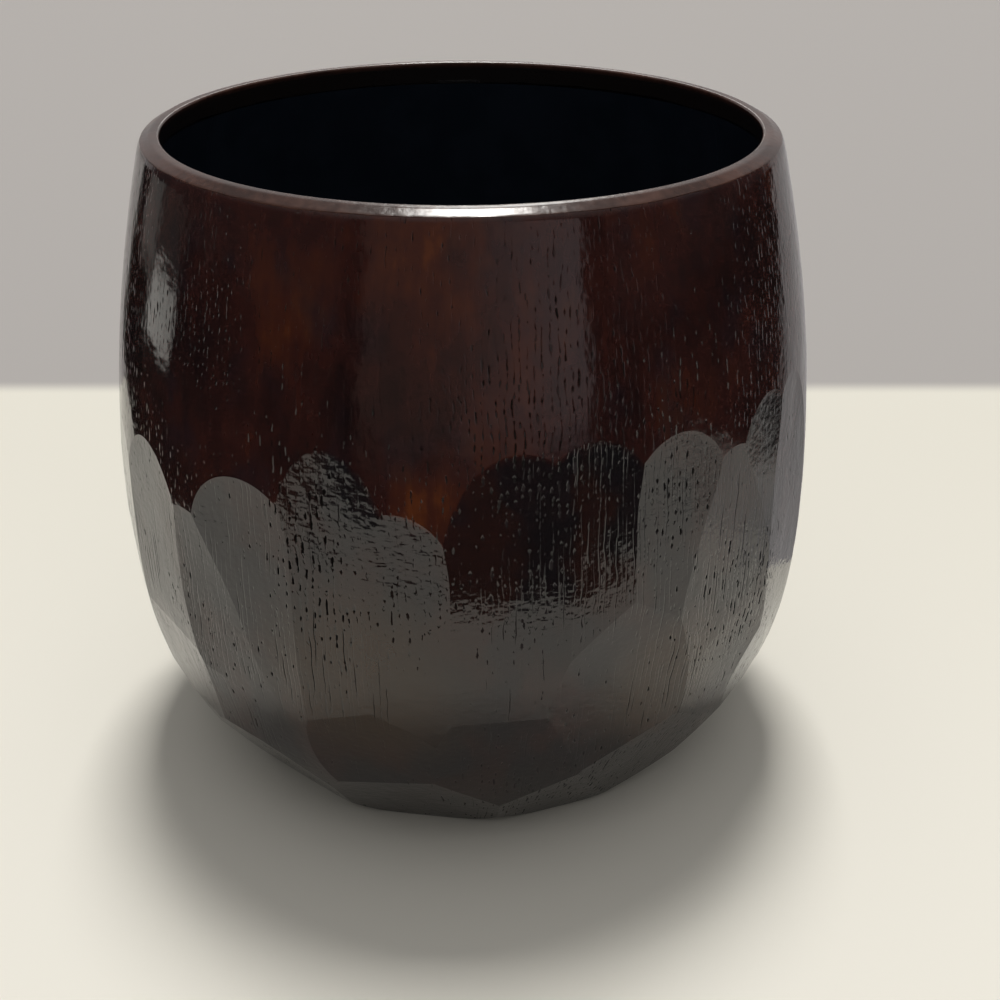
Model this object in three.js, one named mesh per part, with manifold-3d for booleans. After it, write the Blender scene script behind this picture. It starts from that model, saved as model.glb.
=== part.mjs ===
// A handleless drinking cup, turned from one block of open-grained wood. Its upper wall is left
// smooth from the lathe and its lower half is carved by hand: long shallow flutes round the belly,
// wider flat cuts under them and steep cuts at the foot. Built-up lacquer lines the inside, covers
// the lip and fills the turned recess under the foot.
// Millimetres, +Z up, standing on Z = 0 with the axis on the origin. Azimuth 0 faces -Y, and
// azimuth grows towards +X.
import * as THREE from 'three';
import { mergeVertices } from 'three/addons/utils/BufferGeometryUtils.js';
import Module from 'manifold-3d';

// Turned outside
const HEIGHT = 76.7;
const BELLY_HEIGHT = 36.5;
const BELLY_RADIUS = 42;
const LIP_RADIUS = 36.35;
const FOOT_RADIUS = 29.1;
const SHOULDER_POWER = 1.82;
const UNDERSIDE_POWER = 2.68;
const UNDERSIDE_FULLNESS = 1.37;

// Turned inside
const LIP_THICKNESS = 2.3;
const BELLY_WALL = 4.6;
const FLOOR_THICKNESS = 8;
const HOLLOW_ROUNDNESS = 2.6;

// Rounding of the lip: a full curve outside, a small radius at the inner edge
const LIP_DROP = 2.2;
const LIP_FULLNESS = 3.6;
const LIP_EDGE = 0.3;

// Recess under the foot
const RECESS_RADIUS = 24;
const RECESS_DEPTH = 1.2;

// Lacquer coats, thick enough to be solids, and the line between a coat and what it covers
const LINING_THICKNESS = 0.6;
const LIP_COVER = 0.85;
const LIP_SKIRT = 2.9;
const FOOT_COAT_THICKNESS = 0.6;
const BOND_LINE = 0.05;

// Carved cuts of one half of the cup, placed as the eye sees them from the front. The far half
// is the same half, turned.
// Flutes: azimuth, lean in degrees for each millimetre down, top above the belly, depth, run-in
const FLUTES = [
  { at: -84, lean: 0, rise: 13.8, depth: 0.15, run: 14 },
  { at: -71, lean: 0, rise: 8.7, depth: 0.3, run: 12 },
  { at: -57.4, lean: 0.03, rise: 10.6, depth: 0.83, run: 14.3 },
  { at: -45.7, lean: 0.46, rise: 5.4, depth: 0.84, run: 13.4 },
  { at: -33.4, lean: 0, rise: 11.4, depth: 0.68, run: 7.9 },
  { at: -18.8, lean: 0.05, rise: 16.4, depth: 0.52, run: 12 },
  { at: -9, lean: 0, rise: 10.4, depth: 0.57, run: 9.2 },
  { at: 9, lean: 0, rise: 16.8, depth: 0.8, run: 12.2 },
  { at: 20, lean: 0, rise: 17.3, depth: 0.5, run: 7.1 },
  { at: 34.2, lean: 0, rise: 16.3, depth: 0.6, run: 9 },
  { at: 45.6, lean: 0, rise: 12.6, depth: 1.31, run: 25 },
  { at: 55.3, lean: -0.1, rise: 16.5, depth: 0.37, run: 6.8 },
  { at: 64.2, lean: 0, rise: 16.6, depth: 0.58, run: 14 },
  { at: 80, lean: 0, rise: 14.5, depth: 0.15, run: 12 },
];
// Flat cuts under the flutes: azimuth, height where the cut is deepest, depth there
const FLATS = [
  { at: -82, height: 21.4, depth: 0.9 },
  { at: -56.8, height: 17.2, depth: 1.24 },
  { at: -38, height: 16.5, depth: 0.95 },
  { at: -14, height: 14.1, depth: 1.24 },
  { at: 9, height: 13, depth: 1.73 },
  { at: 28, height: 19.8, depth: 1.94 },
  { at: 47.2, height: 21.7, depth: 1.41 },
  { at: 59.4, height: 15, depth: 1 },
  { at: 86, height: 20.5, depth: 0.55 },
];
// Foot cuts: azimuth, how far inside the foot radius the cut meets the table, outward slope
const FOOT_CUTS = [
  { at: -69.5, inset: 0.15, slope: 0.74 },
  { at: -42, inset: 0.65, slope: 0.78 },
  { at: -9, inset: 0.55, slope: 0.79 },
  { at: 22, inset: 0.25, slope: 0.775 },
  { at: 36.5, inset: -0.6, slope: 0.57 },
  { at: 63, inset: 0, slope: 0.75 },
  { at: 88, inset: 0, slope: 0.74 },
];
const HALVES = [0, 180];
const CUTTER_HALF_WIDTH = 18;
const CUTTER_REACH = 6;
const CUT_STEP = 4.5;

// Fineness of the turned surfaces
const TURN_SEGMENTS = 64;
const WALL_STEPS = 6;
const ROUND_STEPS = 8;

const LIP_SPRING = HEIGHT - LIP_DROP;
const BAND_OUTSIDE_EDGE = HEIGHT - LIP_COVER;
const BAND_INSIDE_EDGE = HEIGHT - LIP_SKIRT;

// Radius of the turned outside at a height: a power curve above the belly, a flattened
// superellipse below it.
function wall(z) {
  if (z >= BELLY_HEIGHT) {
    const up = (z - BELLY_HEIGHT) / (HEIGHT - BELLY_HEIGHT);
    return BELLY_RADIUS - (BELLY_RADIUS - LIP_RADIUS) * up ** SHOULDER_POWER;
  }
  const down = Math.min(1, (BELLY_HEIGHT - z) / BELLY_HEIGHT);
  const swell = (1 - down ** UNDERSIDE_POWER) ** (1 / UNDERSIDE_FULLNESS);
  return FOOT_RADIUS + (BELLY_RADIUS - FOOT_RADIUS) * swell;
}

// Outward slope of the turned outside at a height.
function wallSlope(z) {
  const h = 0.05;
  return (wall(z + h) - wall(z - h)) / (2 * h);
}

// Radius of the upper inside at a height, behind a coat of the given thickness.
function hollow(z, coat) {
  const down = (HEIGHT - z) / (HEIGHT - BELLY_HEIGHT);
  const thickness = LIP_THICKNESS + (BELLY_WALL - LIP_THICKNESS) * down;
  return wall(z) - thickness + coat;
}

// Evenly spaced numbers from a to b, ends included.
function spread(a, b, steps) {
  return Array.from({ length: steps + 1 }, (_, i) => a + ((b - a) * i) / steps);
}

// The inside's outline from the middle of its floor up to a height, behind a coat.
function hollowOutline(top, coat) {
  const radius = BELLY_RADIUS - BELLY_WALL + coat;
  const depth = BELLY_HEIGHT - FLOOR_THICKNESS + coat;
  const power = 2 / HOLLOW_ROUNDNESS;
  const bowl = spread(0, Math.PI / 2, ROUND_STEPS).map((a) => new THREE.Vector2(
    radius * Math.sin(a) ** power,
    BELLY_HEIGHT - depth * Math.max(0, Math.cos(a)) ** power,
  ));
  bowl[0].x = 0;
  bowl[ROUND_STEPS].y = BELLY_HEIGHT;
  const sides = spread(BELLY_HEIGHT, top, WALL_STEPS).slice(1);
  return bowl.concat(sides.map((z) => new THREE.Vector2(hollow(z, coat), z)));
}

// Radius of the lip's crest, just outside its inner edge.
function crestRadius() {
  return hollow(HEIGHT - LIP_EDGE, 0) + LIP_EDGE;
}

// Where the lip's outer curve reaches a height, as an angle from its spring line.
function lipAngle(z) {
  return Math.asin(((z - LIP_SPRING) / LIP_DROP) ** (LIP_FULLNESS / 2));
}

// The lip's outer curve between two angles, a superellipse quarter that leaves the wall without a
// crease and ends at the crest.
function lipOutside(from, to, steps) {
  const crest = crestRadius();
  const power = 2 / LIP_FULLNESS;
  return spread(from, to, steps).map((a) => {
    const z = LIP_SPRING + LIP_DROP * Math.sin(a) ** power;
    return new THREE.Vector2(crest + (wall(z) - crest) * Math.max(0, Math.cos(a)) ** power, z);
  });
}

// The lip's inner edge, a quarter round from the crest down to the inside.
function lipInside(steps) {
  return spread(0, Math.PI / 2, steps).map((a) => new THREE.Vector2(
    crestRadius() - LIP_EDGE * Math.sin(a),
    HEIGHT - LIP_EDGE + LIP_EDGE * Math.cos(a),
  ));
}

// One closed mesh of a geometry: shared corners joined and flat triangles dropped.
function weld(geometry) {
  geometry.deleteAttribute('normal');
  geometry.deleteAttribute('uv');
  const joined = mergeVertices(geometry, 1e-4);
  const corners = joined.index.array;
  const kept = [];
  for (let i = 0; i < corners.length; i += 3) {
    const [a, b, c] = corners.slice(i, i + 3);
    if (a !== b && b !== c && c !== a) kept.push(a, b, c);
  }
  joined.setIndex(kept);
  return joined;
}

// A solid turned about Z from an outline that runs up its outside.
function turned(outline) {
  return weld(new THREE.LatheGeometry(outline, TURN_SEGMENTS).rotateX(Math.PI / 2));
}

// The solid outside a cut. The outline gives the cut's distance from the axis by height, the cut
// is flat across, and each of its points is turned to the azimuth that its height has.
function cutter(distances, azimuth) {
  const outside = BELLY_RADIUS + CUTTER_REACH;
  const outline = distances.map(([z, distance]) => new THREE.Vector2(distance, z));
  outline.push(new THREE.Vector2(outside, distances.at(-1)[0]));
  outline.push(new THREE.Vector2(outside, distances[0][0]));
  const solid = new THREE.ExtrudeGeometry(new THREE.Shape(outline), {
    depth: 2 * CUTTER_HALF_WIDTH, bevelEnabled: false,
  });
  const point = solid.attributes.position;
  for (let i = 0; i < point.count; i += 1) {
    const z = point.getY(i);
    const out = point.getX(i);
    const across = CUTTER_HALF_WIDTH - point.getZ(i);
    const a = THREE.MathUtils.degToRad(azimuth(z));
    point.setXYZ(
      i,
      out * Math.sin(a) + across * Math.cos(a),
      across * Math.sin(a) - out * Math.cos(a),
      z,
    );
  }
  return weld(solid);
}

// A flute sinks from nothing at its top to its full depth over its run-in, then follows the wall.
function fluteCutter({ at, lean, rise, depth, run }, turn) {
  const top = BELLY_HEIGHT + rise;
  const sink = (t) => (t < 0 ? 2 * t : t < 1 ? t * (2 - t) : 1);
  const above = top + 2;
  const levels = spread(above, 0, Math.ceil(above / CUT_STEP));
  const distances = levels.map((z) => [z, wall(z) - depth * sink((top - z) / run)]);
  distances.push([-1, distances.at(-1)[1]]);
  return cutter(distances, (z) => at + turn + lean * (top - z));
}

// A cut that is flat both ways, from its distance at the table and its outward slope.
function planeCutter(distance, slope, azimuth) {
  const clear = BELLY_RADIUS + CUTTER_REACH / 2;
  const top = (clear - distance) / slope;
  return cutter([[top, clear], [-1, distance - slope]], () => azimuth);
}

// A flat cut lies along the wall's slope where it is deepest.
function flatCutter({ at, height, depth }, turn) {
  const slope = wallSlope(height);
  return planeCutter(wall(height) - depth - slope * height, slope, at + turn);
}

// A foot cut leaves the table at its own distance and slopes out.
function footCutter({ at, inset, slope }, turn) {
  return planeCutter(FOOT_RADIUS - inset, slope, at + turn);
}

const wasm = await Module();
wasm.setup();

function toManifold(geometry) {
  return new wasm.Manifold(new wasm.Mesh({
    numProp: 3,
    vertProperties: Float32Array.from(geometry.attributes.position.array),
    triVerts: Uint32Array.from(geometry.index.array),
  }));
}

function fromManifold(solid) {
  const mesh = solid.getMesh();
  const geometry = new THREE.BufferGeometry();
  geometry.setAttribute('position', new THREE.BufferAttribute(mesh.vertProperties, 3));
  geometry.setIndex(new THREE.BufferAttribute(mesh.triVerts, 1));
  return geometry;
}

function piece(name, geometry, finish) {
  geometry.computeVertexNormals();
  const mesh = new THREE.Mesh(geometry, new THREE.MeshStandardMaterial(finish));
  mesh.name = name;
  return mesh;
}

// The wooden body: turned outside, hollow and foot recess in one outline, then carved.
function woodenBody() {
  const top = BAND_OUTSIDE_EDGE - BOND_LINE;
  const underside = [
    new THREE.Vector2(0, RECESS_DEPTH),
    new THREE.Vector2(RECESS_RADIUS, RECESS_DEPTH),
    new THREE.Vector2(RECESS_RADIUS, 0),
  ];
  const lower = spread(0, BELLY_HEIGHT, ROUND_STEPS).slice(0, -1);
  const upper = spread(BELLY_HEIGHT, LIP_SPRING, WALL_STEPS);
  const outside = lower.concat(upper).map((z) => new THREE.Vector2(wall(z), z));
  outside.push(...lipOutside(0, lipAngle(top), 3).slice(1));
  const inside = hollowOutline(top, LINING_THICKNESS + BOND_LINE).reverse();
  let body = toManifold(turned([...underside, ...outside, ...inside]));
  for (const turn of HALVES) {
    const cutters = [
      ...FLUTES.map((cut) => fluteCutter(cut, turn)),
      ...FLATS.map((cut) => flatCutter(cut, turn)),
      ...FOOT_CUTS.map((cut) => footCutter(cut, turn)),
    ];
    for (const solid of cutters) body = body.subtract(toManifold(solid));
  }
  return piece('carved_wooden_body', fromManifold(body), {
    color: 0x4a2318, roughness: 0.3, metalness: 0,
  });
}

// The black lacquer that lines the inside, from the floor up to the lip's brown lacquer.
function blackLining() {
  const top = BAND_INSIDE_EDGE - BOND_LINE;
  const outside = hollowOutline(top, LINING_THICKNESS);
  const inside = hollowOutline(top, 0).reverse();
  return piece('black_lacquer_lining', turned([...outside, ...inside]), {
    color: 0x050608, roughness: 0.12, metalness: 0,
  });
}

// The smooth brown lacquer over the lip: the top of its curve, which stands on the wood, and a
// skirt down the inside, which meets the lining.
function lipBand() {
  const outline = [
    new THREE.Vector2(hollow(BAND_INSIDE_EDGE, 0), BAND_INSIDE_EDGE),
    new THREE.Vector2(hollow(BAND_INSIDE_EDGE, LINING_THICKNESS), BAND_INSIDE_EDGE),
    new THREE.Vector2(hollow(BAND_OUTSIDE_EDGE, LINING_THICKNESS), BAND_OUTSIDE_EDGE),
    ...lipOutside(lipAngle(BAND_OUTSIDE_EDGE), Math.PI / 2, ROUND_STEPS - 2),
    ...lipInside(3).slice(1),
  ];
  outline.push(outline[0].clone());
  return piece('lip_lacquer_band', turned(outline), {
    color: 0x3c2622, roughness: 0.2, metalness: 0,
  });
}

// The lacquer coat on the ceiling of the foot recess, clear of the table.
function footCoat() {
  const top = RECESS_DEPTH - BOND_LINE;
  const bottom = top - FOOT_COAT_THICKNESS;
  const radius = RECESS_RADIUS - BOND_LINE;
  const outline = [[0, bottom], [radius, bottom], [radius, top], [0, top]];
  return piece('foot_recess_lacquer', turned(outline.map(([r, z]) => new THREE.Vector2(r, z))), {
    color: 0x08080a, roughness: 0.2, metalness: 0,
  });
}

const cup = new THREE.Group();
cup.add(woodenBody(), blackLining(), lipBand(), footCoat());

export default cup;
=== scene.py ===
import math

import bpy
import numpy as np
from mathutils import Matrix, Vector


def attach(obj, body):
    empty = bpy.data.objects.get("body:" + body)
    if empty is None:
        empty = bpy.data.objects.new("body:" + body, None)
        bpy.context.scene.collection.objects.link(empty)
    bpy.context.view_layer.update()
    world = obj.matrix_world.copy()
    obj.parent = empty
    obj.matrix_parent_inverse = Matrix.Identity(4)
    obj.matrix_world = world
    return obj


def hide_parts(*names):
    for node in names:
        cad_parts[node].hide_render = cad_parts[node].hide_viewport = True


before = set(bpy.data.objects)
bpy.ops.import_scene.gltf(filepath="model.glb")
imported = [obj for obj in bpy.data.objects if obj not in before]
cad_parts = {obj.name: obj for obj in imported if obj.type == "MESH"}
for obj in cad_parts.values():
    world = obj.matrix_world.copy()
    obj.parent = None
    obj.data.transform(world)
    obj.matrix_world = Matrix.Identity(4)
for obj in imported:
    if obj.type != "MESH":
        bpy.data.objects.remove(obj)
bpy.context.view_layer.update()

# Carved wooden body
# The cup is turned from one block of open-grained wood with the grain standing upright. Its upper
# wall stays as the lathe left it; its lower half is cut by hand into long shallow flutes, wider flats
# under them and steep cuts at the foot. Red-brown lacquer is wiped into the bare wood. Millimetres.
HEIGHT = 76.7
BELLY_HEIGHT = 36.5
BELLY_RADIUS = 42.0
LIP_RADIUS = 36.35
FOOT_RADIUS = 29.1
SHOULDER_POWER = 1.82
UNDERSIDE_POWER = 2.68
UNDERSIDE_FULLNESS = 1.37
LIP_THICKNESS = 2.3
BELLY_WALL = 4.6
FLOOR_THICKNESS = 8.0
HOLLOW_ROUNDNESS = 2.6
RECESS_RADIUS = 24.0
RECESS_DEPTH = 1.2
LINING_THICKNESS = 0.6
BOND_LINE = 0.05
LIP_DROP = 2.2
LIP_FULLNESS = 3.6
LIP_EDGE = 0.3
LIP_SPRING = HEIGHT - LIP_DROP
WOOD_TOP = 76.15
INSIDE_SOLID = 0.04

# Each flute: azimuth, lean in degrees for each millimetre down, top above the belly, depth, run-in
FLUTES = np.array([
    (-84, 0, 13.8, 0.15, 14),
    (-71, 0, 8.7, 0.3, 12),
    (-57.4, 0.03, 10.6, 0.83, 14.3),
    (-45.7, 0.46, 5.4, 0.84, 13.4),
    (-33.4, 0, 11.4, 0.68, 7.9),
    (-18.8, 0.05, 16.4, 0.52, 12),
    (-9, 0, 10.4, 0.57, 9.2),
    (9, 0, 16.8, 0.8, 12.2),
    (20, 0, 17.3, 0.5, 7.1),
    (34.2, 0, 16.3, 0.6, 9),
    (45.6, 0, 12.6, 1.31, 25),
    (55.3, -0.1, 16.5, 0.37, 6.8),
    (64.2, 0, 16.6, 0.58, 14),
    (80, 0, 14.5, 0.15, 12),
])
# Each flat: azimuth, height where it is deepest, depth there
FLATS = np.array([
    (-82, 21.4, 0.9),
    (-56.8, 17.2, 1.24),
    (-38, 16.5, 0.95),
    (-14, 14.1, 1.24),
    (9, 13, 1.73),
    (28, 19.8, 1.94),
    (47.2, 21.7, 1.41),
    (59.4, 15, 1),
    (86, 20.5, 0.55),
])
# Each foot cut: azimuth, how far inside the foot radius it meets the floor, outward slope
FOOT_CUTS = np.array([
    (-69.5, 0.15, 0.74),
    (-42, 0.65, 0.78),
    (-9, 0.55, 0.79),
    (22, 0.25, 0.775),
    (36.5, -0.6, 0.57),
    (63, 0, 0.75),
    (88, 0, 0.74),
])


def both_halves(cuts):
    """The cuts of one half, then the same cuts turned by half a circle; azimuths become radians."""
    turned = cuts + np.eye(cuts.shape[1])[0] * 180.0
    whole = np.concatenate([cuts, turned]).T.copy()
    whole[0] = np.radians(whole[0])
    return whole


FLUTE_AT, FLUTE_LEAN, FLUTE_RISE, FLUTE_DEPTH, FLUTE_RUN = both_halves(FLUTES)
FLUTE_LEAN = np.radians(FLUTE_LEAN)
FLAT_AT, FLAT_HEIGHT, FLAT_DEPTH = both_halves(FLATS)
FOOT_AT, FOOT_INSET, FOOT_SLOPE = both_halves(FOOT_CUTS)
FLUTE_COUNT = len(FLUTE_AT)
FLUTE_COLUMNS = 17
RIDGE_CROWDING = 0.6
LEANING_STOPS = 24.0
# A cut counts where the cosine of the angle from its middle is above its reach, and is far out elsewhere
CUT_REACH = 0.7
FAR_OUT = 1000.0
SLOPE_STEP = 0.05


def turned_wall(z):
    """Radius of the turned outside at height z. Above the belly it falls from the belly's radius to
    the lip's with a power of the height; below, it falls to the foot's along a flat superellipse."""
    up = np.clip((z - BELLY_HEIGHT) / (HEIGHT - BELLY_HEIGHT), 0, 1)
    down = np.clip((BELLY_HEIGHT - z) / BELLY_HEIGHT, 0, 1)
    above = BELLY_RADIUS - (BELLY_RADIUS - LIP_RADIUS) * up ** SHOULDER_POWER
    swell = (1 - down ** UNDERSIDE_POWER) ** (1 / UNDERSIDE_FULLNESS)
    below = FOOT_RADIUS + (BELLY_RADIUS - FOOT_RADIUS) * swell
    return np.where(z >= BELLY_HEIGHT, above, below)


def hollow_radius(z, coat):
    """Radius of the upper inside at height z behind a coat: the turned outside less a wall that
    thickens evenly from the lip down to the belly."""
    down = (HEIGHT - z) / (HEIGHT - BELLY_HEIGHT)
    return turned_wall(z) - LIP_THICKNESS - (BELLY_WALL - LIP_THICKNESS) * down + coat


def hollow_line(top, coat, steps):
    """Radii and heights of the inside from the height top down to the middle of its floor: the wall
    above the belly, then a superellipse quarter for the bowl."""
    side = np.linspace(top, BELLY_HEIGHT, steps)
    turn = np.linspace(np.pi / 2, 0, 2 * steps)[1:]
    power = 2 / HOLLOW_ROUNDNESS
    bowl_r = (BELLY_RADIUS - BELLY_WALL + coat) * np.sin(turn) ** power
    bowl_z = BELLY_HEIGHT - (BELLY_HEIGHT - FLOOR_THICKNESS + coat) * np.cos(turn) ** power
    return np.concatenate([hollow_radius(side, coat), bowl_r]), np.concatenate([side, bowl_z])


def lip_curve(turn, proud):
    """Radius and height of the lip at a turn from its outer spring line: a superellipse quarter, drawn
    in from the turned wall, up to the crest at a right angle, then a small quarter round to the inside.
    It stands proud by an amount."""
    crest = hollow_radius(np.array(HEIGHT - LIP_EDGE), 0.0) + LIP_EDGE
    outer = np.clip(turn, 0, np.pi / 2)
    inner = np.clip(turn - np.pi / 2, 0, np.pi / 2)
    rise = (LIP_DROP + proud) * np.sin(outer) ** (2 / LIP_FULLNESS)
    reach = turned_wall(LIP_SPRING + rise) - crest + proud
    radius = crest + reach * np.cos(outer) ** (2 / LIP_FULLNESS) - LIP_EDGE * np.sin(inner)
    return radius, LIP_SPRING + rise - LIP_EDGE * (1 - np.cos(inner))


def lip_turn(z):
    """The turn at which the lip's outer curve reaches height z."""
    return np.arcsin(((z - LIP_SPRING) / LIP_DROP) ** (LIP_FULLNESS / 2))


def flute_distance(k, z, free):
    """Distance from the axis of flute k's flat at height z: it sinks below the turned wall along a
    parabola over its run-in. Above its top it stands off the wall, or stays on it if not free."""
    t = (BELLY_HEIGHT + FLUTE_RISE[k] - z) / FLUTE_RUN[k]
    sink = np.where(t < 0, 2 * t if free else 0 * t, np.where(t < 1, t * (2 - t), 1))
    return turned_wall(z) - FLUTE_DEPTH[k] * sink


def flute_azimuth(k, z):
    """Azimuth of the middle of flute k at height z: its own azimuth and a lean that grows downwards."""
    return FLUTE_AT[k] + FLUTE_LEAN[k] * (BELLY_HEIGHT + FLUTE_RISE[k] - z)


def cut_radii(a, z):
    """Radii at azimuth a and height z of the turned wall and of every cut, stacked. A cut is flat
    across, so it lies at its distance over the cosine of the angle from its middle."""
    shape = (-1,) + (1,) * a.ndim
    k = np.arange(FLUTE_COUNT).reshape(shape)
    flat_z = FLAT_HEIGHT.reshape(shape)
    flat_rise = turned_wall(flat_z + SLOPE_STEP) - turned_wall(flat_z - SLOPE_STEP)
    flat_slope = flat_rise / (2 * SLOPE_STEP)
    flat = turned_wall(flat_z) - FLAT_DEPTH.reshape(shape) + flat_slope * (z - flat_z)
    foot = FOOT_RADIUS - FOOT_INSET.reshape(shape) + FOOT_SLOPE.reshape(shape) * z
    flute = flute_distance(k, z, True)
    distance = np.concatenate([flute, flat, foot])
    middle = np.concatenate([
        flute_azimuth(k, z),
        np.broadcast_to(FLAT_AT.reshape(shape), flat.shape),
        np.broadcast_to(FOOT_AT.reshape(shape), foot.shape),
    ])
    turn = np.cos(a - middle)
    radius = np.where(turn > CUT_REACH, distance / np.maximum(turn, CUT_REACH), FAR_OUT)
    return np.concatenate([turned_wall(z)[None] + 0 * a[None], radius])


def ridge_azimuth(k, z):
    """Azimuth of the ridge between flute k - 1 and flute k at height z, where two flats that stand at
    their own distances from the axis meet. Below the leaning part the ridge goes straight down."""
    z = np.maximum(z, LEANING_STOPS)
    one, two = (k - 1) % FLUTE_COUNT, k % FLUTE_COUNT
    near, far = flute_distance(one, z, False), flute_distance(two, z, False)
    start = flute_azimuth(one, z) + 2 * np.pi * ((k - 1) // FLUTE_COUNT)
    apart = flute_azimuth(two, z) + 2 * np.pi * (k // FLUTE_COUNT) - start
    meet = np.arctan2(far - near * np.cos(apart), near * np.sin(apart))
    return start + np.clip(meet, 0.2 * apart, 0.8 * apart)


def column_azimuth(u, z):
    """Azimuth of column u, counted in flutes, at height z: columns run from ridge to ridge and stand
    closer together at the ridges."""
    k = np.floor(u).astype(int)
    part = u - k
    part = part - RIDGE_CROWDING * np.sin(2 * np.pi * part) / (2 * np.pi)
    left, right = ridge_azimuth(k, z), ridge_azimuth(k + 1, z)
    return left + (right - left) * part


# In cells of the grid: how near an edge a point settles on it, how near it closes in and by what share,
# the longest way it goes in a step, and the step that slopes are taken over
BESIDE_EDGE = 0.5
NEAR_EDGE = 1.5
NEAR_SHARE = 0.45
LONGEST_PULL = 0.6
SMALL_STEP = 0.1


def settle_on_edges(u, v, row_z):
    """Columns u and rows v of the grid, moved so that points beside an edge between two cuts lie on
    it and their neighbours close in on it. Each step goes down the slope of the gap between the two
    innermost surfaces."""
    def radii(u, v):
        z = np.interp(v, np.arange(len(row_z)), row_z)
        return cut_radii(column_azimuth(u, z), z)

    order = np.argpartition(radii(u, v), 1, axis=0)[:2]

    def gap(u, v):
        pair = np.take_along_axis(radii(u, v), order, axis=0)
        return pair[1] - pair[0]

    inner = np.ones_like(v)
    inner[[0, -1]] = 0
    h = SMALL_STEP
    for step in range(3):
        g = gap(u, v)
        gu = (gap(u + h / FLUTE_COLUMNS, v) - gap(u - h / FLUTE_COLUMNS, v)) / (2 * h)
        gv = inner * (gap(u, v + h) - gap(u, v - h)) / (2 * h)
        steep = np.maximum(np.abs(gu), np.abs(gv)) + 1e-9
        if step == 0:
            away = np.abs(g) / steep
            on_edge = away < BESIDE_EDGE
            share = np.where(on_edge, 1.0, np.where(away < NEAR_EDGE, NEAR_SHARE, 0.0))
        else:
            share = np.where(on_edge, 1.0, 0.0)
        pull = -share * g / (gu ** 2 + gv ** 2 + 1e-9)
        u = u + np.clip(pull * gu, -LONGEST_PULL, LONGEST_PULL) / FLUTE_COLUMNS
        v = v + np.clip(pull * gv, -LONGEST_PULL, LONGEST_PULL)
    return u, np.clip(v, 0, len(row_z) - 1)


METRES = 0.001


def round_points(radius, azimuth, z):
    """Points in metres from radius, azimuth and height in millimetres; azimuth 0 faces -Y and grows
    towards +X."""
    azimuth, z = azimuth + 0 * radius, z + 0 * radius
    return np.stack([radius * np.sin(azimuth), -radius * np.cos(azimuth), z], axis=-1) * METRES


def ring_triangles(points):
    """Triangles of a grid of rings, closed round and left open at its two ends. Each cell is split
    along the diagonal that stands further out, so that raised edges stay whole."""
    rows, columns = points.shape[:2]
    index = np.arange(rows * columns).reshape(rows, columns)
    a, b = index[:-1], np.roll(index, -1, axis=1)[:-1]
    d, c = index[1:], np.roll(index, -1, axis=1)[1:]
    flat = points.reshape(-1, 3)
    out = np.cross(flat[c] - flat[a], flat[d] - flat[b])
    first = np.sum((flat[a] + flat[c] - flat[b] - flat[d]) * out, axis=-1) >= 0
    one = np.where(first[..., None], np.stack([a, b, c], -1), np.stack([a, b, d], -1))
    two = np.where(first[..., None], np.stack([a, c, d], -1), np.stack([b, c, d], -1))
    return np.concatenate([one.reshape(-1, 3), two.reshape(-1, 3)])


def closed_piece(name, points, poles, material, marks=None, crease=30):
    """A smooth closed mesh from rings that run up the outside and down the inside. Two poles close
    the first and the last ring; without poles the last ring joins the first. Edges that turn by
    more than the crease in degrees stay sharp."""
    rows, columns = points.shape[:2]
    grid = points.reshape(-1, 3)
    if poles is None:
        faces = ring_triangles(np.concatenate([points, points[:1]])) % (rows * columns)
    else:
        around = np.arange(columns)
        after = np.roll(around, -1)
        last = (rows - 1) * columns
        start, end = rows * columns, rows * columns + 1
        faces = np.concatenate([
            ring_triangles(points),
            np.stack([after, around, np.full(columns, start)], -1),
            np.stack([last + around, last + after, np.full(columns, end)], -1),
        ])
        grid = np.concatenate([grid, np.asarray(poles)])
    mesh = bpy.data.meshes.new(name)
    mesh.vertices.add(len(grid))
    mesh.vertices.foreach_set("co", grid.ravel())
    mesh.loops.add(faces.size)
    mesh.loops.foreach_set("vertex_index", faces.ravel())
    mesh.polygons.add(len(faces))
    mesh.polygons.foreach_set("loop_start", np.arange(0, faces.size, 3))
    mesh.polygons.foreach_set("use_smooth", np.ones(len(faces), dtype=bool))
    for label, values in (marks or {}).items():
        whole = np.zeros(len(grid))
        whole[:values.size] = values.ravel()
        mesh.attributes.new(label, "FLOAT", "POINT").data.foreach_set("value", whole)
    mesh.update(calc_edges=True)
    mesh.validate()
    mesh.set_sharp_from_angle(angle=math.radians(crease))
    mesh.materials.append(material)
    piece = bpy.data.objects.new(name, mesh)
    bpy.context.collection.objects.link(piece)
    return piece


def put(tree, kind, inputs=None, **settings):
    """One shader node with its settings; each input is linked if it is a socket and set if not."""
    made = tree.nodes.new(kind)
    for key, value in settings.items():
        setattr(made, key, value)
    for key, value in (inputs or {}).items():
        if isinstance(value, bpy.types.NodeSocket):
            tree.links.new(value, made.inputs[key])
        else:
            made.inputs[key].default_value = value
    return made


def maths(tree, operation, *values):
    """The result of one Math node."""
    return put(tree, "ShaderNodeMath", dict(enumerate(values)), operation=operation).outputs[0]


def between(tree, value, low, high, to_low=0.0, to_high=1.0):
    """A value taken smoothly from one range to another and held at both ends."""
    made = put(tree, "ShaderNodeMapRange", {0: value, 1: low, 2: high, 3: to_low, 4: to_high},
               interpolation_type="SMOOTHSTEP")
    return made.outputs[0]


def blend(tree, share, one, two, how="MIX"):
    """Two colours mixed by a share."""
    made = put(tree, "ShaderNodeMix", {0: share, 6: one, 7: two}, data_type="RGBA", blend_type=how)
    return made.outputs[2]


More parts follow.
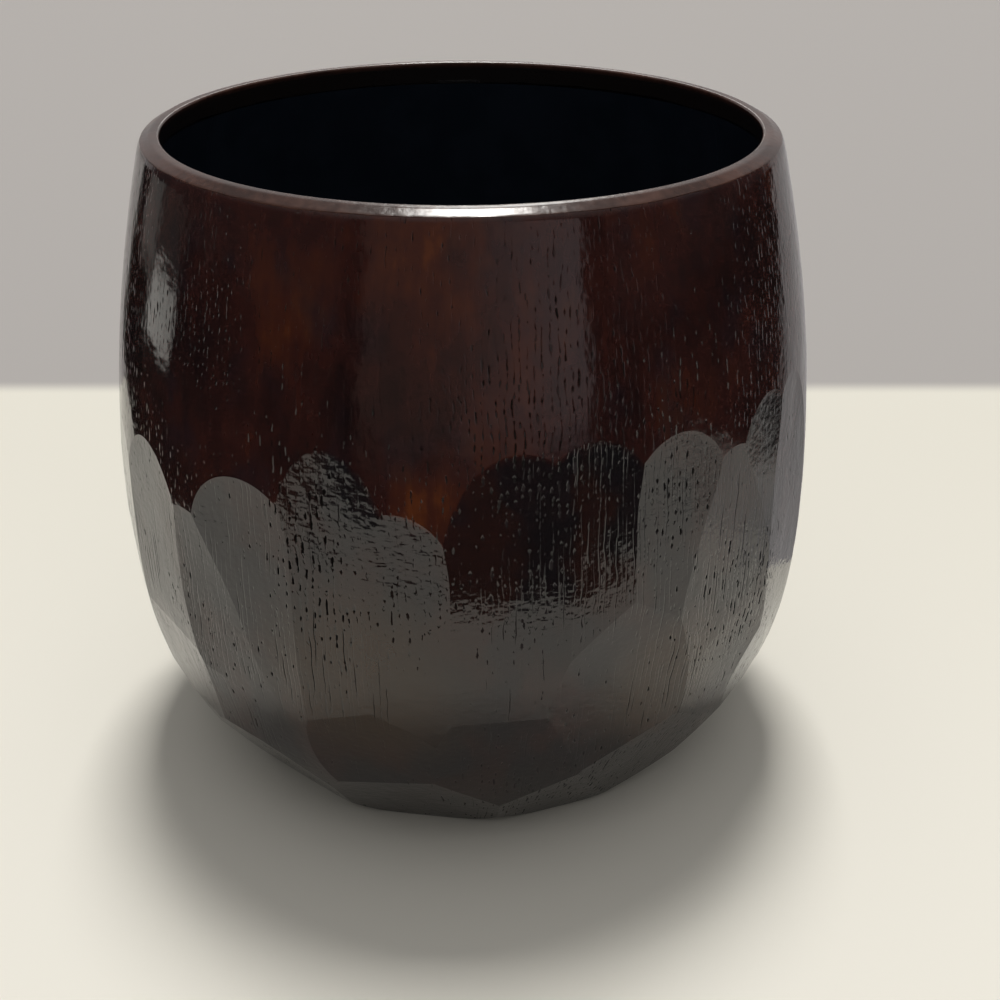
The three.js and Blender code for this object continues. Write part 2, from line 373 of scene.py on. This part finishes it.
def noise(tree, where, stretch, detail=2.0, roughness=0.5):
    """Noise over millimetre coordinates, with its own number of waves for each millimetre each way."""
    place = put(tree, "ShaderNodeVectorMath", {0: where, 1: stretch}, operation="MULTIPLY").outputs[0]
    made = put(tree, "ShaderNodeTexNoise",
               {"Vector": place, "Scale": 1.0, "Detail": detail, "Roughness": roughness})
    return made.outputs["Fac"]


def distance_from(tree, where, centre):
    """Distance in millimetres from a centre."""
    made = put(tree, "ShaderNodeVectorMath", {0: where, 1: centre}, operation="DISTANCE")
    return made.outputs["Value"]


def start_material(name):
    """A material with only a Principled shader, and its Object coordinates in millimetres."""
    made = bpy.data.materials.new(name)
    made.use_nodes = True
    tree = made.node_tree
    tree.nodes.clear()
    shader = put(tree, "ShaderNodeBsdfPrincipled")
    put(tree, "ShaderNodeOutputMaterial", {"Surface": shader.outputs[0]})
    place = put(tree, "ShaderNodeTexCoord").outputs["Object"]
    where = put(tree, "ShaderNodeMapping", {"Vector": place, "Scale": (1000, 1000, 1000)}).outputs[0]
    return made, tree, shader, where


def upright_marks(tree, where, count, wobble, often, luck, width):
    """Shares of narrow and of wide upright marks round the cup, and which of them face up: a number of
    columns cut into lengths, each length with its own place and its own dashes, so many to the
    millimetre, where noise and luck together pass one."""
    spot = put(tree, "ShaderNodeSeparateXYZ", {0: where}).outputs
    turn = maths(tree, "ARCTAN2", spot[0], maths(tree, "MULTIPLY", spot[1], -1.0))
    place = maths(tree, "MULTIPLY_ADD", turn, count / (2 * math.pi), wobble)
    column = maths(tree, "FLOOR", place)
    start = put(tree, "ShaderNodeTexWhiteNoise", {"W": column}, noise_dimensions="1D").outputs["Value"]
    level = maths(tree, "MULTIPLY_ADD", spot[2], 0.4 * often, maths(tree, "MULTIPLY", start, 5.0))
    cell = put(tree, "ShaderNodeCombineXYZ", {0: column, 1: maths(tree, "FLOOR", level)}).outputs[0]
    chance = put(tree, "ShaderNodeTexWhiteNoise", {"Vector": cell}, noise_dimensions="2D")
    own = put(tree, "ShaderNodeSeparateColor", {0: chance.outputs["Color"]}).outputs
    middle = maths(tree, "MULTIPLY_ADD", own[0], 0.5, 0.25)
    aside = maths(tree, "SUBTRACT", maths(tree, "FRACT", place), middle)
    aside = maths(tree, "MULTIPLY", maths(tree, "ABSOLUTE", aside), 2 * math.pi * BELLY_RADIUS / count)
    along = maths(tree, "MULTIPLY_ADD", spot[2], often, maths(tree, "MULTIPLY", own[1], 91.0))
    run = put(tree, "ShaderNodeCombineXYZ", {0: along, 1: maths(tree, "MULTIPLY", own[2], 37.0)}).outputs[0]
    dash = put(tree, "ShaderNodeTexNoise", {"Vector": run, "Scale": 1.0, "Detail": 0.0}).outputs["Fac"]
    face = put(tree, "ShaderNodeTexNoise", {"Vector": run, "Scale": 0.45, "Detail": 0.0}).outputs["Fac"]
    over = maths(tree, "MULTIPLY_ADD", maths(tree, "ADD", dash, luck), 6.0, -6.0)
    half = maths(tree, "MULTIPLY", maths(tree, "MINIMUM", over, 1.0), width)
    inside = maths(tree, "SUBTRACT", half, aside)
    narrow = between(tree, inside, -0.02, 0.03)
    wide = between(tree, inside, -0.1, 0.05)
    return narrow, wide, between(tree, face, 0.46, 0.5)


wood, tree, shader, where = start_material("wiped_lacquer_on_open_grain")
carved = put(tree, "ShaderNodeAttribute", attribute_name="carved").outputs["Fac"]
spot = put(tree, "ShaderNodeSeparateXYZ", {0: where}).outputs

# Pores: broken lines of cut vessels, crowded in parts of the wood, and finer lines left by the knife
PORE_COLUMNS = 330
PORES_PER_MM = 1.15
KNIFE_COLUMNS = 410
KNIFE_LINES_PER_MM = 0.15
KNIFE_LINE_WIDTH = 0.06
sway = maths(tree, "MULTIPLY_ADD", noise(tree, where, (0.25, 0.25, 0.25), 3.0), 1.2, -0.6)
patchy = between(tree, noise(tree, where, (0.075, 0.075, 0.05), 3.0), 0.36, 0.62)
low_down = between(tree, spot[2], 46.0, 73.0, 1.0, 0.2)
luck = maths(tree, "MULTIPLY_ADD", maths(tree, "MULTIPLY", patchy, low_down), 0.17, 0.31)
luck = maths(tree, "MULTIPLY_ADD", carved, -0.02, luck)
for centre, reach, more in (
        ((8, -40, 56), 14.0, 0.1), ((20, -35, 58), 11.0, 0.1), ((-8, -40, 53), 9.0, 0.1),
        ((-14, -39, 38), 10.0, 0.12), ((23, -34, 44), 8.0, 0.11), ((30, -27, 30), 13.0, 0.18),
        ((38, -12, 62), 12.0, 0.1),
        ((2, -39, 23), 15.0, -0.1), ((-12, -35, 12), 14.0, -0.1), ((-30, -29, 38), 10.0, -0.05)):
    far = distance_from(tree, where, centre)
    luck = maths(tree, "ADD", luck, between(tree, far, 0.4 * reach, reach, more, 0.0))
pore_width = maths(tree, "MULTIPLY_ADD", carved, 0.045, 0.088)
pore, pit, pore_up = upright_marks(tree, where, PORE_COLUMNS, sway, PORES_PER_MM, luck, pore_width)
scored = between(tree, noise(tree, where, (0.06, 0.06, 0.05), 2.0), 0.45, 0.62, 0.15, 0.42)
for centre in ((-14, -38, 27), (24, -32, 22), (-37, -16, 30), (31, -25, 34)):
    far = distance_from(tree, where, centre)
    scored = maths(tree, "MAXIMUM", scored, between(tree, far, 4.0, 12.0, 0.55, 0.15))
scored = maths(tree, "MULTIPLY", scored, carved)
score, score_pit, score_up = upright_marks(tree, where, KNIFE_COLUMNS, sway, KNIFE_LINES_PER_MM, scored,
                                           KNIFE_LINE_WIDTH)

# Colour: maroon and red-brown in patches and upright streaks, amber where the wood shows through
cloud = noise(tree, where, (0.07, 0.07, 0.055), 3.0, 0.55)
mottle = noise(tree, where, (0.32, 0.32, 0.2), 3.0, 0.65)
streak = noise(tree, where, (0.9, 0.9, 0.06), 2.0)
tone = maths(tree, "MULTIPLY_ADD", mottle, 0.75, maths(tree, "MULTIPLY_ADD", cloud, 0.75, -0.54))
tone = maths(tree, "MULTIPLY_ADD", streak, 0.4, tone)
for centre, reach, lift in (
        ((-4, -41, 48), 8.0, 0.5), ((-17, -35, 65), 10.0, 0.26), ((-2, -38, 70), 10.0, 0.16),
        ((10, -38, 65), 9.0, 0.14), ((23, -33, 56), 9.0, 0.22), ((4, -40, 55), 9.0, 0.2),
        ((-28, -28, 62), 15.0, -0.32), ((17, -35, 64), 8.0, -0.06), ((30, -25, 66), 14.0, -0.1),
        ((-6, -39, 62), 14.0, -0.1)):
    far = distance_from(tree, where, centre)
    tone = maths(tree, "ADD", tone, between(tree, far, 0.0, reach, lift, 0.0))
tone = maths(tree, "MULTIPLY_ADD", carved, -0.2, tone)
shades = put(tree, "ShaderNodeValToRGB", {0: tone})
stops = shades.color_ramp.elements
stops[0].position = 0.0
stops[0].color = (0.010, 0.005, 0.0058, 1)
stops[1].position = 1.0
stops[1].color = (0.115, 0.031, 0.009, 1)
for position, colour in ((0.25, (0.0195, 0.0074, 0.0074, 1)), (0.5, (0.034, 0.0105, 0.0092, 1)),
                         (0.75, (0.054, 0.015, 0.0088, 1))):
    stops.new(position).color = colour
dusky = between(tree, noise(tree, where, (0.2, 0.2, 0.14), 2.0), 0.5, 0.66)
cooler = blend(tree, 1.0, shades.outputs[0], (0.8, 1.05, 1.3, 1), "MULTIPLY")
colour = blend(tree, dusky, shades.outputs[0], cooler)
stain = blend(tree, between(tree, noise(tree, where, (0.13, 0.13, 0.09), 3.0), 0.42, 0.58),
              (0.0065, 0.0072, 0.0098, 1), (0.021, 0.0088, 0.0078, 1))
colour = blend(tree, maths(tree, "MULTIPLY", carved, 0.7), colour, stain)
for centre, reach in (((-10, -38, 26), 16.0), ((22, -31, 22), 12.0)):
    far = distance_from(tree, where, centre)
    warm = maths(tree, "MULTIPLY", carved, between(tree, far, 0.3 * reach, reach, 0.75, 0.0))
    colour = blend(tree, warm, colour, (0.036, 0.019, 0.008, 1))
# The cuts turn a lighter grey towards the foot: a painted reflection of the floor beside the foot.
low_painted_reflection = maths(tree, "MULTIPLY", carved, between(tree, spot[2], 5.0, 15.0, 0.7, 0.0))
colour = blend(tree, low_painted_reflection, colour, (0.034, 0.031, 0.029, 1))
# Pores and knife lines are painted near black: painted shade deep in their narrow pits.
marks = maths(tree, "MAXIMUM", pore, score)
colour = blend(tree, marks, colour, (0.0025, 0.0018, 0.0016, 1))
tree.links.new(colour, shader.inputs["Base Color"])

# Finish: the lathe's surface is smooth under uneven lacquer, the cut one is rippled by the knife. The
# walls of the cut vessels stand upright, leaning a little outwards at the top.
ripple = noise(tree, where, (1.2, 1.2, 1.8), 0.8, 0.45)
grain = noise(tree, where, (2.2, 2.2, 0.08), 2.0, 0.6)
swell = noise(tree, where, (0.2, 0.2, 0.14), 3.0, 0.55)
rough = maths(tree, "MULTIPLY_ADD", carved, 0.02, 0.07)
rough = maths(tree, "MULTIPLY_ADD", marks, 0.16, rough)
tree.links.new(rough, shader.inputs["Roughness"])
height = maths(tree, "MULTIPLY", ripple, maths(tree, "MULTIPLY_ADD", carved, 0.018, 0.008))
height = maths(tree, "MULTIPLY_ADD", grain, 0.008, height)
height = maths(tree, "MULTIPLY_ADD", swell, 0.13, height)
height = maths(tree, "MULTIPLY_ADD", maths(tree, "MAXIMUM", pit, score_pit), -0.03, height)
relief = put(tree, "ShaderNodeBump", {"Strength": 1.0, "Distance": 0.001, "Height": height}).outputs[0]
pore_lean = maths(tree, "MULTIPLY", pore, pore_up)
score_lean = maths(tree, "MULTIPLY", score, score_up)
lean = between(tree, maths(tree, "MAXIMUM", pore_lean, score_lean), 0.0, 1.0, -2.5, 16.0)
upright = put(tree, "ShaderNodeCombineXYZ", {0: spot[0], 1: spot[1], 2: lean}).outputs[0]
upright = put(tree, "ShaderNodeVectorMath", {0: upright}, operation="NORMALIZE").outputs[0]
facing = put(tree, "ShaderNodeMix", {0: marks, 4: relief, 5: upright}, data_type="VECTOR").outputs[1]
facing = put(tree, "ShaderNodeVectorMath", {0: facing}, operation="NORMALIZE").outputs[0]
tree.links.new(facing, shader.inputs["Normal"])
shader.inputs["IOR"].default_value = 1.56

# Mesh: rows stand close together up to above the highest flute; the knife leaves faint waves in the cuts
FINE_ROWS_END = 54
CUT_FADE = 0.06
KNIFE_WAVES = 0.02
row_z = np.concatenate([
    np.linspace(0, FINE_ROWS_END, 157), np.linspace(FINE_ROWS_END, LIP_SPRING, 15)[1:]])
u, v = np.meshgrid(np.arange(FLUTE_COUNT * FLUTE_COLUMNS) / FLUTE_COLUMNS,
                   np.arange(len(row_z), dtype=float))
u, v = settle_on_edges(u, v, row_z)
z = np.interp(v, np.arange(len(row_z)), row_z)
azimuth = column_azimuth(u, z)
radius = cut_radii(azimuth, z).min(axis=0)
below_wall = turned_wall(z) - radius
is_cut = np.clip(below_wall / CUT_FADE, 0, 1)
chisel = (np.sin(7 * azimuth + 0.37 * z) + np.sin(13 * azimuth - 0.29 * z + 1.0)
          + np.sin(23 * azimuth + 0.17 * z + 2.1)) / 3
radius = radius - INSIDE_SOLID - KNIFE_WAVES * is_cut * (1 + chisel) * np.clip(z / 4, 0, 1)
outside = round_points(radius, azimuth, z)
rim_r, rim_z = lip_curve(np.linspace(0, lip_turn(WOOD_TOP), 19)[1:, None], -INSIDE_SOLID)
rim = round_points(rim_r + 0 * azimuth[-1:], azimuth[-1:], rim_z)

foot_r = np.array([0.5 * RECESS_RADIUS, RECESS_RADIUS, RECESS_RADIUS, RECESS_RADIUS + 0.25])[:, None]
foot_z = np.array([RECESS_DEPTH, RECESS_DEPTH, 0.25, 0.0])[:, None]
underside = round_points(foot_r + 0 * azimuth[:1], azimuth[:1], foot_z)
bore_r, bore_z = hollow_line(WOOD_TOP, LINING_THICKNESS + BOND_LINE, 5)
bore = round_points(bore_r[:-1, None] + 0 * azimuth[-1:], azimuth[-1:], bore_z[:-1, None])
body_points = np.concatenate([underside, outside, rim, bore])
body_cut = np.concatenate([
    np.zeros(underside.shape[:2]), is_cut, np.zeros(rim.shape[:2]), np.zeros(bore.shape[:2])])
body_poles = [(0, 0, RECESS_DEPTH * METRES), (0, 0, bore_z[-1] * METRES)]
body = closed_piece("carved_body", body_points, body_poles, wood, {"carved": body_cut}, crease=4)
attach(body, "root")
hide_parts("carved_wooden_body")

# Black lacquer lining
# Built-up black lacquer over the turned hollow, from the floor up to the lip's brown lacquer. It is
# brushed on in coats and left glossy, with the faint unevenness of a brushed coat.
LINING_TOP = 73.75
around = np.linspace(0, 2 * np.pi, 192, endpoint=False)[None]
outer_r, outer_z = hollow_line(LINING_TOP, LINING_THICKNESS, 14)
inner_r, inner_z = hollow_line(LINING_TOP, 0.0, 14)
lining_r = np.concatenate([outer_r[:-1][::-1], inner_r[:-1]])[:, None]
lining_z = np.concatenate([outer_z[:-1][::-1], inner_z[:-1]])[:, None]
black, tree, shader, where = start_material("black_brushed_lacquer")
brush = noise(tree, where, (0.16, 0.16, 0.16), 2.0)
speck = noise(tree, where, (1.4, 1.4, 1.4), 2.0)
tree.links.new(blend(tree, between(tree, brush, 0.35, 0.65), (0.009, 0.0135, 0.022, 1),
                     (0.012, 0.017, 0.027, 1)), shader.inputs["Base Color"])
tree.links.new(maths(tree, "MULTIPLY_ADD", speck, 0.06, 0.1), shader.inputs["Roughness"])
height = maths(tree, "MULTIPLY_ADD", brush, 0.03, maths(tree, "MULTIPLY", speck, 0.002))
relief = put(tree, "ShaderNodeBump", {"Strength": 1.0, "Distance": 0.001, "Height": height})
tree.links.new(relief.outputs[0], shader.inputs["Normal"])
shader.inputs["IOR"].default_value = 1.3
lining = closed_piece("black_lining", round_points(lining_r + 0 * around, around, lining_z),
                      [(0, 0, outer_z[-1] * METRES), (0, 0, inner_z[-1] * METRES)], black)
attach(lining, "root")
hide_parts("black_lacquer_lining")

# Brown lacquer over the lip
# A thicker brown lacquer that seals and rounds the edge one drinks from. It is drawn round by brush,
# so it laps a little over the wood outside, and further over the lining inside with an uneven edge.
# Its outer curve is rubbed slightly flat.
OUTSIDE_EDGE = 76.0
INSIDE_EDGE = 73.85
BEVEL_LEAN = math.radians(28)
BEVEL_DEPTH = 0.12
around = np.linspace(0, 2 * np.pi, 512, endpoint=False)[None]


def brush_edge(a, reach):
    """Rise and fall of a brushed edge round the cup: six waves of rising number, weaker as they
    get shorter."""
    waves = np.array([3, 7, 12, 19, 31, 53]).reshape(-1, 1, 1)
    shift = np.array([0.4, 2.0, 4.4, 1.1, 5.2, 3.0]).reshape(-1, 1, 1)
    return reach * (np.sin(waves * a + shift) / waves ** 0.4).sum(axis=0) / 2


edge_turn = lip_turn(OUTSIDE_EDGE + brush_edge(around, 0.1))
over = np.concatenate([[0.0, 0.0, 0.02], np.linspace(0.06, 1, 28)])[:, None]
proud = np.concatenate([[-0.15, -0.04], np.full(29, -0.01)])[:, None]
arc_r, arc_z = lip_curve(edge_turn + (np.pi - edge_turn) * over, proud)
reach = arc_r * np.sin(BEVEL_LEAN) + arc_z * np.cos(BEVEL_LEAN)
rubbed = np.maximum(reach - reach.max(axis=0) + BEVEL_DEPTH, 0)
arc_r = arc_r - rubbed * np.sin(BEVEL_LEAN)
arc_z = arc_z - rubbed * np.cos(BEVEL_LEAN)
drop = np.array([0.2, 0.5, 0.75, 0.95, 1.0])[:, None]
top_z = HEIGHT - LIP_EDGE
in_z = top_z - (top_z - INSIDE_EDGE - brush_edge(around, 0.26)) * drop
in_r = hollow_radius(in_z, 0.0) - np.array([0.01, 0.02, 0.03, 0.03, -0.06])[:, None]
back_z = np.array([LIP_SPRING + 0.2, LIP_SPRING + 0.9])[:, None] + 0 * around
back_r = np.stack([hollow_radius(back_z[0], 0.4), hollow_radius(back_z[1], 0.9)])
lip_r = np.concatenate([arc_r, in_r, back_r])
lip_z = np.concatenate([arc_z, in_z, back_z])
lip_inside = np.concatenate([0 * arc_r, 0 * in_r + 1, 0 * back_r + 1])
brown, tree, shader, where = start_material("brown_brushed_lacquer")
brush = noise(tree, where, (0.12, 0.12, 0.5), 3.0)
speck = noise(tree, where, (1.1, 1.1, 1.1), 3.0)
shade = maths(tree, "MULTIPLY_ADD", speck, 0.35, maths(tree, "MULTIPLY", brush, 0.65))
tint = blend(tree, between(tree, shade, 0.35, 0.65), (0.033, 0.0145, 0.0115, 1), (0.074, 0.032, 0.023, 1))
inside = put(tree, "ShaderNodeAttribute", attribute_name="inside").outputs["Fac"]
tint = blend(tree, inside, tint, (0.015, 0.0115, 0.0108, 1))
tree.links.new(tint, shader.inputs["Base Color"])
tree.links.new(maths(tree, "MULTIPLY_ADD", speck, 0.15, 0.14), shader.inputs["Roughness"])
height = maths(tree, "MULTIPLY_ADD", brush, 0.03, maths(tree, "MULTIPLY", speck, 0.03))
relief = put(tree, "ShaderNodeBump", {"Strength": 1.0, "Distance": 0.001, "Height": height})
tree.links.new(relief.outputs[0], shader.inputs["Normal"])
shader.inputs["IOR"].default_value = 1.46
lip = closed_piece("brown_lip", round_points(lip_r, around, lip_z), None, brown, {"inside": lip_inside})
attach(lip, "root")
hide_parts("lip_lacquer_band")

# Black lacquer under the foot
# A coat on the ceiling of the shallow recess turned under the foot, clear of the floor, with the
# rings of the turning tool faint below it and a raised rim where it ran against the recess wall.
COAT_LOW = 0.55
COAT_HIGH = 1.15
coat_r = np.concatenate([np.linspace(0.5, 23.3, 40), [23.6, 23.85, 23.95, 23.95, 23.6, 12.0]])[:, None]
coat_z = np.concatenate([
    COAT_LOW + 0.06 + 0.02 * np.sin(np.linspace(0.5, 23.3, 40) * 2.6),
    [COAT_LOW + 0.03, COAT_LOW, COAT_LOW + 0.03, COAT_HIGH - 0.05, COAT_HIGH, COAT_HIGH],
])[:, None]
around = np.linspace(0, 2 * np.pi, 128, endpoint=False)[None]
under, tree, shader, where = start_material("black_foot_lacquer")
scuff = noise(tree, where, (0.5, 0.5, 0.5), 4.0, 0.6)
smear = noise(tree, where, (0.09, 0.09, 0.09), 2.0)
tree.links.new(blend(tree, between(tree, smear, 0.35, 0.65), (0.004, 0.0042, 0.005, 1),
                     (0.012, 0.0105, 0.0105, 1)), shader.inputs["Base Color"])
tree.links.new(maths(tree, "MULTIPLY_ADD", scuff, 0.2, 0.14), shader.inputs["Roughness"])
relief = put(tree, "ShaderNodeBump", {
    "Strength": 1.0, "Distance": 0.001, "Height": maths(tree, "MULTIPLY", scuff, 0.012)})
tree.links.new(relief.outputs[0], shader.inputs["Normal"])
shader.inputs["IOR"].default_value = 1.5
coat = closed_piece("foot_coat", round_points(coat_r + 0 * around, around, coat_z),
                    [(0, 0, coat_z[0, 0] * METRES), (0, 0, COAT_HIGH * METRES)], under)
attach(coat, "root")
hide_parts("foot_recess_lacquer")

# Floor and cards
# A wide pale floor that turns grey behind the cup, and cards that only the gloss sees: dark ones in
# front and at both sides, a dim grey one that leans in front and a pale strip overhead. They stand
# round the cup as in a small studio but light nothing: they glow, and are painted reflections on the
# cup, the pale strip a painted highlight on its lip.
FLOOR_BACK = 0.106


def flat_card(name, corners, material):
    """One flat sheet, its corners given in metres."""
    mesh = bpy.data.meshes.new(name)
    mesh.from_pydata(corners, [], [range(len(corners))])
    mesh.materials.append(material)
    card = bpy.data.objects.new(name, mesh)
    bpy.context.collection.objects.link(card)
    return card


def gloss_only(card):
    """Lets only reflections see a card."""
    card.visible_camera = False
    card.visible_diffuse = False
    card.visible_transmission = False
    card.visible_shadow = False


def glow_material(name, colour, strength):
    """A plain glowing surface."""
    made = bpy.data.materials.new(name)
    made.use_nodes = True
    made.node_tree.nodes.clear()
    glow = put(made.node_tree, "ShaderNodeEmission", {"Color": colour, "Strength": strength})
    put(made.node_tree, "ShaderNodeOutputMaterial", {"Surface": glow.outputs[0]})
    return made


def start_card(name):
    """A material that only glows, in the colour linked to its emission."""
    made, tree, shader, where = start_material(name)
    shader.inputs["Emission Strength"].default_value = 1.0
    shader.inputs["Base Color"].default_value = (0, 0, 0, 1)
    shader.inputs["Specular IOR Level"].default_value = 0.0
    return made, tree, shader, where


pale, tree, shader, where = start_material("pale_floor")
across = put(tree, "ShaderNodeSeparateXYZ", {0: where}).outputs[1]
behind = between(tree, across, 1000 * FLOOR_BACK - 3, 1000 * FLOOR_BACK + 4)
# The floor is painted a little darker towards the back: painted shade that evens out the lamp's stronger
# light there.
near = blend(tree, between(tree, across, -60, 1000 * FLOOR_BACK), (0.82, 0.80, 0.735, 1),
             (0.735, 0.715, 0.645, 1))
tree.links.new(blend(tree, behind, near, (0.405, 0.388, 0.381, 1)), shader.inputs["Base Color"])
shader.inputs["Roughness"].default_value = 0.6
shader.inputs["Specular IOR Level"].default_value = 0.0
floor = flat_card("pale_floor", [(-4, -4, 0), (4, -4, 0), (4, 4, 0), (-4, 4, 0)], pale)
LIFT = 0.0002
DARK = (0.012, 0.011, 0.01, 1)
# The dark cards glow nearly black: painted dark reflections in the cup's gloss.
unlit = glow_material("dark_card", DARK, 1.0)
dark_front = flat_card("dark_card_front", [
    (4, -4, LIFT), (4, 0.4, LIFT), (0.15, -0.085, LIFT), (0.108, -0.106, LIFT), (0.08, -0.105, LIFT),
    (0.071, -0.092, LIFT), (0.064, -0.088, LIFT), (0.058, -0.085, LIFT), (0.054, -0.0845, LIFT),
    (0.033, -0.0975, LIFT), (0.026, -0.099, LIFT), (0.02, -0.1025, LIFT), (-0.005, -0.112, LIFT),
    (-0.036, -0.118, LIFT), (-0.085, -0.12, LIFT), (-0.105, -0.128, LIFT), (-0.2, -0.141, LIFT),
    (-4, -0.771, LIFT), (-4, -4, LIFT)], unlit)

# The card at the right, a painted reflection, darkens away from the cup and is grey behind it
fading, tree, shader, where = start_card("fading_card")
out = put(tree, "ShaderNodeSeparateXYZ", {0: where}).outputs
near = between(tree, maths(tree, "MULTIPLY_ADD", out[1], 0.8, out[0]), 135, 195)
rear = between(tree, maths(tree, "MULTIPLY_ADD", out[0], -1.06, out[1]), -122, -82)
shade = blend(tree, near, (0.68, 0.66, 0.6, 1), DARK)
tree.links.new(blend(tree, rear, shade, (0.44, 0.42, 0.415, 1)), shader.inputs["Emission Color"])
dark_right = flat_card("dark_card_right", [
    (0.153, -0.085, 2 * LIFT), (4, 0.4, 2 * LIFT), (4, 4, 2 * LIFT), (0, 4, 2 * LIFT),
    (0, FLOOR_BACK, 2 * LIFT)], fading)

# The card at the left, a painted reflection, is dark with one pale stretch that paints a highlight
# on the cup's left side; the stretch is told apart by the direction from the cup
banded, tree, shader, where = start_card("banded_card")
side = put(tree, "ShaderNodeSeparateXYZ", {0: where})
turn = maths(tree, "ARCTAN2", maths(tree, "MULTIPLY", side.outputs[0], -1.0),
             maths(tree, "MULTIPLY", side.outputs[1], -1.0))
away = put(tree, "ShaderNodeVectorMath", {0: where}, operation="LENGTH").outputs["Value"]
turn = maths(tree, "MULTIPLY", turn, 180 / math.pi)
bright = maths(tree, "MULTIPLY", between(tree, turn, 99, 103), between(tree, turn, 113, 118, 1.0, 0.0))
bright = maths(tree, "MULTIPLY", bright, between(tree, away, 255, 300))
bright = maths(tree, "MULTIPLY", bright, between(tree, away, 420, 620, 1.0, 0.06))
dim = maths(tree, "MULTIPLY", between(tree, turn, 114, 118), between(tree, turn, 126, 131, 1.0, 0.0))
dim = maths(tree, "MULTIPLY", dim, between(tree, away, 360, 460, 0.0, 0.2))
bright = maths(tree, "MAXIMUM", bright, dim)
bright = maths(tree, "MAXIMUM", bright, between(tree, turn, 134, 141, 0.0, 0.33))
tree.links.new(blend(tree, bright, DARK, (1.1, 1.08, 1.0, 1)), shader.inputs["Emission Color"])
dark_left = flat_card("dark_card_left", [
    (-0.126, 0.143, LIFT), (-3.2, 3.81, LIFT), (-4, -0.77, LIFT), (-0.126, -0.135, LIFT)], banded)

# The grey card, a painted reflection that lays a grey sheen over the cup's front, leans back in front
# of the cup and is dimmest at its edges
veil, tree, shader, where = start_card("grey_card")
side = put(tree, "ShaderNodeSeparateXYZ", {0: where})
spread = maths(tree, "DIVIDE", side.outputs[0], maths(tree, "MULTIPLY_ADD", side.outputs[1], -1.0, -39.0))
bright = between(tree, spread, -0.7, -0.6)
bright = maths(tree, "MULTIPLY", bright, between(tree, spread, 0.92, 1.0, 1.0, 0.0))
bright = maths(tree, "MULTIPLY", bright, between(tree, side.outputs[2], 0, 40))
glow = blend(tree, between(tree, spread, -0.2, 0.8), (0.19, 0.125, 0.105, 1), (0.47, 0.4, 0.4, 1))
tree.links.new(blend(tree, bright, DARK, glow), shader.inputs["Emission Color"])
grey_card = flat_card("grey_card", [
    (-0.12, -0.18, 0), (0.18, -0.18, 0), (0.65, -0.6, 0.42), (-0.45, -0.6, 0.42)], veil)
# The pale strip glows overhead and is no lamp: a painted highlight along the lip.
strip = flat_card("pale_strip_overhead", [
    (-0.26, 1.2, 3), (0.34, 1.2, 3), (0.58, 10.5, 3), (-0.5, 10.5, 3)],
    glow_material("pale_strip", (1.0, 0.98, 0.94, 1), 5.0))
for card in (dark_front, dark_right, dark_left, grey_card, strip):
    gloss_only(card)

# Light
# One wide soft lamp high behind the cup, and a dim surround that brightens overhead. Matt surfaces get
# a more even fill from it than the gloss shows.
LAMP_AT = Vector((0.04, 0.92, 3.0))
LAMP_AIM = Vector((0, 0, 0.05))
lamp_data = bpy.data.lights.new("soft_lamp", "AREA")
lamp_data.shape = "SQUARE"
lamp_data.size = 0.7
lamp_data.energy = 72.0
lamp_data.color = (1.0, 0.98, 0.94)
lamp = bpy.data.objects.new("soft_lamp", lamp_data)
lamp.location = LAMP_AT
lamp.rotation_euler = (LAMP_AT - LAMP_AIM).to_track_quat("Z", "Y").to_euler()
bpy.context.collection.objects.link(lamp)

world = bpy.data.worlds.new("surround")
world.use_nodes = True
bpy.context.scene.world = world
tree = world.node_tree
tree.nodes.clear()
toward = put(tree, "ShaderNodeTexCoord").outputs["Generated"]
side = put(tree, "ShaderNodeSeparateXYZ", {0: toward}).outputs
surround = blend(tree, between(tree, side[2], 0.25, 1.0), (0.035, 0.034, 0.034, 1),
                 (0.46, 0.453, 0.442, 1))
behind = between(tree, side[1], 0.6, 0.75)
behind = maths(tree, "MULTIPLY", behind, between(tree, side[2], 0.5, 0.7, 1.0, 0.0))
surround = blend(tree, behind, surround, (0.45, 0.432, 0.426, 1))
path = put(tree, "ShaderNodeLightPath").outputs
fill = blend(tree, between(tree, side[2], 0.1, 1.0), (0.2, 0.195, 0.187, 1), (0.49, 0.481, 0.468, 1))
surround = blend(tree, path["Is Diffuse Ray"], surround, fill)
seen = blend(tree, path["Is Camera Ray"], surround, (0.445, 0.427, 0.42, 1))
put(tree, "ShaderNodeOutputWorld", {
    "Surface": put(tree, "ShaderNodeBackground", {"Color": seen, "Strength": 1.0}).outputs[0]})

# Camera
# A little above the cup's lip and looking down on it, as the cup was pictured.
LOOK_DOWN = math.radians(26.4)
camera_data = bpy.data.cameras.new("camera")
camera_data.lens = 57.6
camera_data.sensor_width = 36.0
camera_data.clip_start = 0.01
camera = bpy.data.objects.new("camera", camera_data)
camera.location = (0.00436, -0.18342, 0.11933)
camera.rotation_euler = (math.pi / 2 - LOOK_DOWN, 0, 0)
bpy.context.collection.objects.link(camera)
bpy.context.scene.camera = camera
bpy.context.scene.view_settings.view_transform = "Standard"
